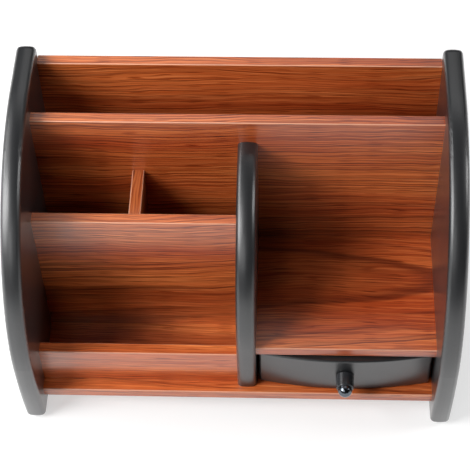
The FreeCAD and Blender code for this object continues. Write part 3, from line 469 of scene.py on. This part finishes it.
def satin_lacquer(name, middle=None):
    """Black satin lacquer; around a middle plane (metres along X) the rims are rounder."""
    lacquer = new_material(name)
    spot = add(lacquer, "TexCoord").outputs["Object"]
    clouds = add(lacquer, "TexNoise", {"Vector": spot, "Scale": CLOUDS, "Detail": 3.0})
    sheen = add(lacquer, "MapRange", {"Value": clouds.outputs["Fac"], "From Min": NOISE_LOW,
                                      "From Max": NOISE_HIGH, "To Min": 0.31,
                                      "To Max": 0.38})
    dust = add(lacquer, "TexVoronoi", {"Vector": spot, "Scale": SPECKS})
    speck = add(lacquer, "MapRange", {"Value": dust.outputs["Distance"], "From Min": 0.10,
                                      "From Max": 0.22, "To Min": 1.0, "To Max": 0.0})
    black = add(
        lacquer, "Mix",
        {0: speck.outputs[0], COLOUR_A: linear("1F2022"), COLOUR_B: linear("343537")},
        data_type="RGBA",
    )
    peel = add(lacquer, "TexNoise", {"Vector": spot, "Scale": PEEL, "Detail": 2.0})
    skin = add(lacquer, "Bump", {"Height": peel.outputs["Fac"], "Strength": 0.2,
                                 "Distance": 0.06 * MM})
    if middle is not None:
        place = add(lacquer, "SeparateXYZ", {"Vector": spot})
        off = add(lacquer, "Math", {0: place.outputs["X"], 1: middle}, operation="SUBTRACT")
        square = add(lacquer, "Math", {0: off.outputs[0], 1: 2.0}, operation="POWER")
        fall = add(lacquer, "Math", {0: square.outputs[0], 1: -0.5 / RIM_RADIUS},
                   operation="MULTIPLY")
        skin = add(lacquer, "Bump", {"Height": fall.outputs[0], "Strength": 1.0,
                                     "Distance": 1.0, "Normal": skin.outputs[0]})
    shader = add(
        lacquer, "BsdfPrincipled",
        {"Base Color": black.outputs[MIXED], "Roughness": sheen.outputs[0], "IOR": 1.5,
         "Normal": skin.outputs[0], "Coat Weight": 1.0, "Coat Roughness": 0.34,
         "Coat IOR": 1.5},
    )
    return show(lacquer, shader.outputs[0])


# %% Lacquer on its pieces
def middle_plane(name):
    """Where the middle of the panel's thickness lies along X, in metres."""
    across = [vertex.co.x for vertex in nodes[name].data.vertices]
    return (min(across) + max(across)) / 2


dress(["drawer_front", "foot_disc"], satin_lacquer("black_satin_lacquer"))
for panel in ("left_side_panel", "centre_panel", "right_side_panel"):
    dress([panel], satin_lacquer("black_satin_lacquer_" + panel, middle_plane(panel)))

# %% [markdown]
# ## Metals
#
# Three kinds of metal meet here. The drawer's knob ends in a chromed cap; the swivel plates,
# the eyelet and the screws are pressed or turned steel with a thin zinc plating; and the
# balls are hardened, polished steel. A metal has no colour under its surface, so metallic is
# 1, its hex value is the tint of its reflection, and the IOR stays at Blender's default. The
# cap is dark chrome, so its tint lies well below the near white of the bright kind.
#
# What tells them apart is the surface. Chrome is a mirror with a few hairlines, so its
# roughness is low and streaked. Zinc keeps the rolling direction of the sheet and dulls in
# patches. The hairlines, the rolling marks and the scuffs of the balls are really a few
# hundredths of a millimetre wide, and are drawn at about a millimetre, so that they show.

# %% Chrome of the knob's cap
HAIRLINES = (900, 60, 900)  # cells per metre along X, Y and Z: 1.1 mm wide, 17 mm long

chrome = new_material("polished_chrome")
spot = add(chrome, "TexCoord").outputs["Object"]
hairs = add(chrome, "Mapping", {"Vector": spot, "Scale": HAIRLINES})
hairline = add(chrome, "TexNoise", {"Vector": hairs.outputs[0], "Scale": 1.0, "Detail": 3.0})
polish = add(chrome, "MapRange", {"Value": hairline.outputs["Fac"], "From Min": 0.35,
                                  "From Max": 0.75, "To Min": 0.16, "To Max": 0.30})
tint = add(
    chrome, "Mix",
    {0: hairline.outputs["Fac"], COLOUR_A: linear("555B62"), COLOUR_B: linear("70777E")},
    data_type="RGBA",
)
plated = add(
    chrome, "BsdfPrincipled",
    {"Base Color": tint.outputs[MIXED], "Metallic": 1.0, "Roughness": polish.outputs[0]},
)
show(chrome, plated.outputs[0])
dress(["knob_cap"], chrome)

# %% Zinc-plated steel of the swivel and the screws
PATCHES = 160.0  # cells per metre: patches about 6 mm across
ROLLING_MARKS = (40, 1600, 400)  # cells per metre: 25 mm long, 0.6 mm wide

zinc = new_material("zinc_plated_steel")
spot = add(zinc, "TexCoord").outputs["Object"]
patches = add(zinc, "TexNoise", {"Vector": spot, "Scale": PATCHES, "Detail": 4.0,
                                 "Roughness": 0.6})
rolled = add(zinc, "Mapping", {"Vector": spot, "Scale": ROLLING_MARKS})
rolling = add(zinc, "TexNoise", {"Vector": rolled.outputs[0], "Scale": 1.0, "Detail": 2.0})
dull = add(
    zinc, "Math", {0: patches.outputs["Fac"], 1: rolling.outputs["Fac"]}, operation="ADD"
)
zinc_sheen = add(zinc, "MapRange", {"Value": dull.outputs[0], "From Min": 0.7, "From Max": 1.3,
                                    "To Min": 0.26, "To Max": 0.46})
passivated = add(
    zinc, "Mix",
    {0: patches.outputs["Fac"], COLOUR_A: linear("B9BEC4"), COLOUR_B: linear("CFCCC2")},
    data_type="RGBA",
)
zinc_skin = add(zinc, "Bump", {"Height": rolling.outputs["Fac"], "Strength": 0.2,
                               "Distance": 0.02 * MM})
zinced = add(
    zinc, "BsdfPrincipled",
    {"Base Color": passivated.outputs[MIXED], "Metallic": 1.0,
     "Roughness": zinc_sheen.outputs[0], "Normal": zinc_skin.outputs[0]},
)
show(zinc, zinced.outputs[0])
dress(
    ["upper_swivel_plate", "lower_swivel_plate", "swivel_eyelet", "upper_plate_screws",
     "lower_plate_screws", "knob_screw"],
    zinc,
)

# %% Hardened steel of the balls
SCUFFS = 900.0  # cells per metre: scuffs about 1.1 mm across

bearing_steel = new_material("bearing_steel")
spot = add(bearing_steel, "TexCoord").outputs["Object"]
scuffs = add(bearing_steel, "TexNoise", {"Vector": spot, "Scale": SCUFFS, "Detail": 2.0})
scuff = add(bearing_steel, "MapRange", {"Value": scuffs.outputs["Fac"], "From Min": 0.4,
                                        "From Max": 0.7, "To Min": 0.06, "To Max": 0.16})
polished = add(
    bearing_steel, "BsdfPrincipled",
    {"Base Color": linear("C6C8CA"), "Metallic": 1.0, "Roughness": scuff.outputs[0]},
)
show(bearing_steel, polished.outputs[0])
dress(["swivel_balls"], bearing_steel)

# %% [markdown]
# ## Plastics and rubber
#
# The knob is moulded in black ABS and polished, so it is the glossiest black of the piece:
# IOR 1.53, a roughness near 0.2, and only a shallow ripple from the mould. The ball cage is
# natural nylon, milky and a little uneven in tone. The pads under the foot are moulded
# rubber, matt and greyish, with a fine eroded texture that holds dust. Its grit is really 0.1
# to 0.3 mm across and is drawn at a millimetre.

# %% Black ABS of the knob
RIPPLE = 240.0  # cells per metre: waves about 4 mm across

abs_black = new_material("polished_black_abs")
spot = add(abs_black, "TexCoord").outputs["Object"]
ripple = add(abs_black, "TexNoise", {"Vector": spot, "Scale": RIPPLE, "Detail": 2.0})
abs_gloss = add(abs_black, "MapRange", {"Value": ripple.outputs["Fac"],
                                        "From Min": NOISE_LOW, "From Max": NOISE_HIGH,
                                        "To Min": 0.16, "To Max": 0.26})
abs_tone = add(
    abs_black, "Mix",
    {0: ripple.outputs["Fac"], COLOUR_A: linear("2A2B2D"), COLOUR_B: linear("343538")},
    data_type="RGBA",
)
abs_skin = add(abs_black, "Bump", {"Height": ripple.outputs["Fac"], "Strength": 0.15,
                                   "Distance": 0.05 * MM})
moulded = add(
    abs_black, "BsdfPrincipled",
    {"Base Color": abs_tone.outputs[MIXED], "Roughness": abs_gloss.outputs[0], "IOR": 1.53,
     "Normal": abs_skin.outputs[0]},
)
show(abs_black, moulded.outputs[0])
dress(["drawer_knob"], abs_black)

# %% Natural nylon of the ball cage
MILKINESS = 120.0  # cells per metre: clouds about 8 mm across

nylon = new_material("natural_nylon")
spot = add(nylon, "TexCoord").outputs["Object"]
milk = add(nylon, "TexNoise", {"Vector": spot, "Scale": MILKINESS, "Detail": 3.0})
nylon_tone = add(
    nylon, "Mix",
    {0: milk.outputs["Fac"], COLOUR_A: linear("DDD6C4"), COLOUR_B: linear("EEEAE0")},
    data_type="RGBA",
)
nylon_gloss = add(nylon, "MapRange", {"Value": milk.outputs["Fac"], "To Min": 0.38,
                                      "To Max": 0.55})
nylon_skin = add(nylon, "Bump", {"Height": milk.outputs["Fac"], "Strength": 0.2,
                                 "Distance": 0.05 * MM})
cage_skin = add(
    nylon, "BsdfPrincipled",
    {"Base Color": nylon_tone.outputs[MIXED], "Roughness": nylon_gloss.outputs[0], "IOR": 1.53,
     "Normal": nylon_skin.outputs[0]},
)
show(nylon, cage_skin.outputs[0])
dress(["ball_cage"], nylon)

# %% Rubber of the pads
GRIT = 900.0  # cells per metre: grains about 1.1 mm across
GRIME = 140.0  # cells per metre: smears about 7 mm across

rubber = new_material("moulded_rubber")
spot = add(rubber, "TexCoord").outputs["Object"]
grit = add(rubber, "TexNoise", {"Vector": spot, "Scale": GRIT, "Detail": 3.0,
                                "Roughness": 0.7})
grime = add(rubber, "TexNoise", {"Vector": spot, "Scale": GRIME, "Detail": 3.0})
rubber_tone = add(
    rubber, "Mix",
    {0: grime.outputs["Fac"], COLOUR_A: linear("202021"), COLOUR_B: linear("3A3938")},
    data_type="RGBA",
)
rubber_gloss = add(rubber, "MapRange", {"Value": grime.outputs["Fac"], "To Min": 0.72,
                                        "To Max": 0.95})
rubber_skin = add(rubber, "Bump", {"Height": grit.outputs["Fac"], "Strength": 0.5,
                                   "Distance": 0.1 * MM})
pad_skin = add(
    rubber, "BsdfPrincipled",
    {"Base Color": rubber_tone.outputs[MIXED], "Roughness": rubber_gloss.outputs[0],
     "IOR": 1.52, "Normal": rubber_skin.outputs[0]},
)
show(rubber, pad_skin.outputs[0])
dress(["foot_pads"], rubber)

# %% [markdown]
# ## Beech dowels and a hardboard floor
#
# The dowels that pin the boards together are turned beech, pale and pinkish, with short brown
# flecks along the grain that tell beech from any other wood. Their grain follows the pin, so
# the material takes the pin's axis. The drawer's floor is hardboard: steamed fibres pressed
# to a hard brown sheet, whose short fibres lie every way and whose face is smooth and
# slightly shiny.

# %% Beech
ALONG_PIN, ACROSS_PIN = 120, 1300  # cells per metre: strands of about 8 mm by 0.8 mm
FLECKS = 2.3  # flecks are so many times finer: about 3.6 mm by 0.3 mm


def beech(name, cells):
    """Turned beech; cells is how many there are per metre along X, Y and Z."""
    pin = new_material(name)
    spot = add(pin, "TexCoord").outputs["Object"]
    run = add(pin, "Mapping", {"Vector": spot, "Scale": cells})
    strands = add(pin, "TexNoise", {"Vector": run.outputs[0], "Scale": 1.0, "Detail": 3.0})
    flecks = add(pin, "TexNoise", {"Vector": run.outputs[0], "Scale": FLECKS, "Detail": 0.0})
    fleck = add(pin, "MapRange", {"Value": flecks.outputs["Fac"], "From Min": 0.64,
                                  "From Max": 0.72, "To Min": 1.0, "To Max": 0.55})
    tone = add(
        pin, "Mix",
        {0: strands.outputs["Fac"], COLOUR_A: linear("C79A6C"), COLOUR_B: linear("E2C299")},
        data_type="RGBA",
    )
    flecked = add(
        pin, "HueSaturation", {"Color": tone.outputs[MIXED], "Value": fleck.outputs[0]}
    )
    turned = add(pin, "Bump", {"Height": strands.outputs["Fac"], "Strength": 0.3,
                               "Distance": 0.08 * MM})
    sanded = add(pin, "MapRange", {"Value": strands.outputs["Fac"], "To Min": 0.5,
                                   "To Max": 0.7})
    skin = add(
        pin, "BsdfPrincipled",
        {"Base Color": flecked.outputs[0], "Roughness": sanded.outputs[0], "IOR": 1.5,
         "Normal": turned.outputs[0]},
    )
    return show(pin, skin.outputs[0])


dress(
    ["side_dowels", "centre_dowels"],
    beech("beech_pins_across", (ALONG_PIN, ACROSS_PIN, ACROSS_PIN)),
)
dress(
    ["pen_divider_dowels", "drawer_dowels"],
    beech("beech_pins_deep", (ACROSS_PIN, ALONG_PIN, ACROSS_PIN)),
)

# %% Hardboard
CLUMPS = 210.0  # cells per metre: clumps about 5 mm across, with fibres down to 0.3 mm
FELT = 30.0  # cells per metre: duller and shinier places about 30 mm across

hardboard = new_material("smooth_hardboard")
spot = add(hardboard, "TexCoord").outputs["Object"]
strew = add(hardboard, "TexNoise", {"Vector": spot, "Scale": CLUMPS, "Detail": 5.0,
                                    "Roughness": 0.7, "Distortion": 1.6})
felt = add(hardboard, "TexNoise", {"Vector": spot, "Scale": FELT, "Detail": 2.0})
fibre_tone = add(
    hardboard, "Mix",
    {0: strew.outputs["Fac"], COLOUR_A: linear("5F3B22"), COLOUR_B: linear("A0714A")},
    data_type="RGBA",
)
press_sheen = add(hardboard, "MapRange", {"Value": felt.outputs["Fac"], "To Min": 0.42,
                                          "To Max": 0.68})
press_skin = add(hardboard, "Bump", {"Height": strew.outputs["Fac"], "Strength": 0.25,
                                     "Distance": 0.06 * MM})
pressed = add(
    hardboard, "BsdfPrincipled",
    {"Base Color": fibre_tone.outputs[MIXED], "Roughness": press_sheen.outputs[0], "IOR": 1.5,
     "Normal": press_skin.outputs[0]},
)
show(hardboard, pressed.outputs[0])
dress(["drawer_floor"], hardboard)

# %% [markdown]
# ## A white table
#
# The organiser stands on a plain white table that runs out of sight. A table only lit by the
# lamps would fall off into grey at its far side. So its paint also glows a little, but only
# to the camera and in mirror-like reflections: it adds no light to the object, the organiser
# keeps its soft shadow, and the lacquer and the chrome see the same white table as the camera
# does.
#
# The paint is a light grey. Round the foot the lamps bring it about half way to white, and the
# glow adds the rest. Further out their light fades, so the glow rises there.

# %% Table
TABLE_RADIUS = 6.0
TABLE_SIDES = 96
TABLE_DROP = 0.2 * MM  # so that the table's face and the pads' faces don't share a plane
NEAR, GLOW_NEAR = 0.12, 0.52  # metres from the middle, and the glow there
FAR, GLOW_FAR = 1.0, 0.97

table_mesh = bpy.data.meshes.new("table_top")
table_mesh.from_pydata(
    [
        (TABLE_RADIUS * math.cos(turn), TABLE_RADIUS * math.sin(turn), 0)
        for turn in (2 * math.pi * i / TABLE_SIDES for i in range(TABLE_SIDES))
    ],
    [],
    [tuple(range(TABLE_SIDES))],
)
table = bpy.data.objects.new("table_top", table_mesh)
table.location.z = -TABLE_DROP
bpy.context.scene.collection.objects.link(table)

white_paint = new_material("white_table_paint")
rays = add(white_paint, "LightPath")
mirrored = add(
    white_paint, "Math",
    {0: rays.outputs["Is Glossy Ray"], 1: rays.outputs["Is Transmission Ray"]},
    operation="MAXIMUM",
)
seen = add(
    white_paint, "Math", {0: rays.outputs["Is Camera Ray"], 1: mirrored.outputs[0]},
    operation="MAXIMUM",
)
spot = add(white_paint, "TexCoord").outputs["Object"]
from_middle = add(white_paint, "VectorMath", {0: spot}, operation="LENGTH")
growing = add(white_paint, "MapRange", {"Value": from_middle.outputs["Value"],
                                        "From Min": NEAR, "From Max": FAR,
                                        "To Min": GLOW_NEAR, "To Max": GLOW_FAR})
level = add(
    white_paint, "Math", {0: seen.outputs[0], 1: growing.outputs[0]}, operation="MULTIPLY"
)
paint = add(white_paint, "BsdfDiffuse", {"Color": linear("C0C0C0")})
glow = add(white_paint, "Emission", {"Color": linear("FFFFFF"), "Strength": level.outputs[0]})
both = add(white_paint, "AddShader", {0: paint.outputs[0], 1: glow.outputs[0]})
show(white_paint, both.outputs[0])
table_mesh.materials.append(white_paint)
print("table:", TABLE_SIDES, "sides,", 2 * TABLE_RADIUS, "m across")

# %% [markdown]
# ## Light
#
# Five softboxes and a dim room. The one at the left front does most of the work: it lights
# the faces of the dividers and throws the soft shadows that fall to the right and down behind
# each upright piece. The big one beside it, on the left, lights the boards' top edges and
# draws the long highlight on the left flank of each rim. A weak one near the front keeps the
# deepest corners from going dead, one on the right puts a thin line on the right rims, and a
# low-powered one behind separates the top edges from the table. Softboxes are area lamps: the
# larger they are, the softer the shadow.
#
# A lamp's place is given by its turn round the object, 0 in front and positive to the right,
# and by its height angle. All five stand equally far from the middle of the organiser.

# %% Softboxes
MIDDLE = Vector((0, 0, 0.12))
LAMP_DISTANCE = 1.3

SOFTBOXES = {
    # lamp: turn and height angle in degrees, width and height in metres, watts
    "left_softbox": (-96, 36, 0.8, 0.7, 10.0),
    "left_front_softbox": (-59, 38, 0.5, 0.7, 16.0),
    "front_softbox": (-18, 34, 0.35, 0.5, 1.6),
    "right_softbox": (90, 32, 0.35, 0.35, 6.0),
    "back_softbox": (170, 53, 1.2, 0.5, 1.8),
}


def softbox(name, turn, height_angle, width, height, watts):
    """An area lamp on a stand, facing the middle of the organiser."""
    flat = LAMP_DISTANCE * math.cos(math.radians(height_angle))
    place = MIDDLE + Vector((
        flat * math.sin(math.radians(turn)),
        -flat * math.cos(math.radians(turn)),
        LAMP_DISTANCE * math.sin(math.radians(height_angle)),
    ))
    data = bpy.data.lights.new(name, "AREA")
    data.shape = "RECTANGLE"
    data.size, data.size_y, data.energy = width, height, watts
    lamp = bpy.data.objects.new(name, data)
    lamp.location = place
    lamp.rotation_euler = (MIDDLE - place).to_track_quat("-Z", "Y").to_euler()
    bpy.context.scene.collection.objects.link(lamp)
    print(name, "at", [round(c, 2) for c in place], "m,", watts, "W")


for lamp_name, settings in SOFTBOXES.items():
    softbox(lamp_name, *settings)

# %% Dim room
ROOM_LEVEL = 0.02

room = bpy.data.worlds.new("dim_room")
room.use_nodes = True
room.node_tree.nodes.clear()
bpy.context.scene.world = room
air = add(room, "Background", {"Color": linear("FFFFFF"), "Strength": ROOM_LEVEL})
add(room, "OutputWorld", {"Surface": air.outputs[0]})
print("room light:", ROOM_LEVEL, "of white")

# %% [markdown]
# ## The view
#
# The Standard view shows a colour as it was written.

# %% View
bpy.context.scene.view_settings.view_transform = "Standard"
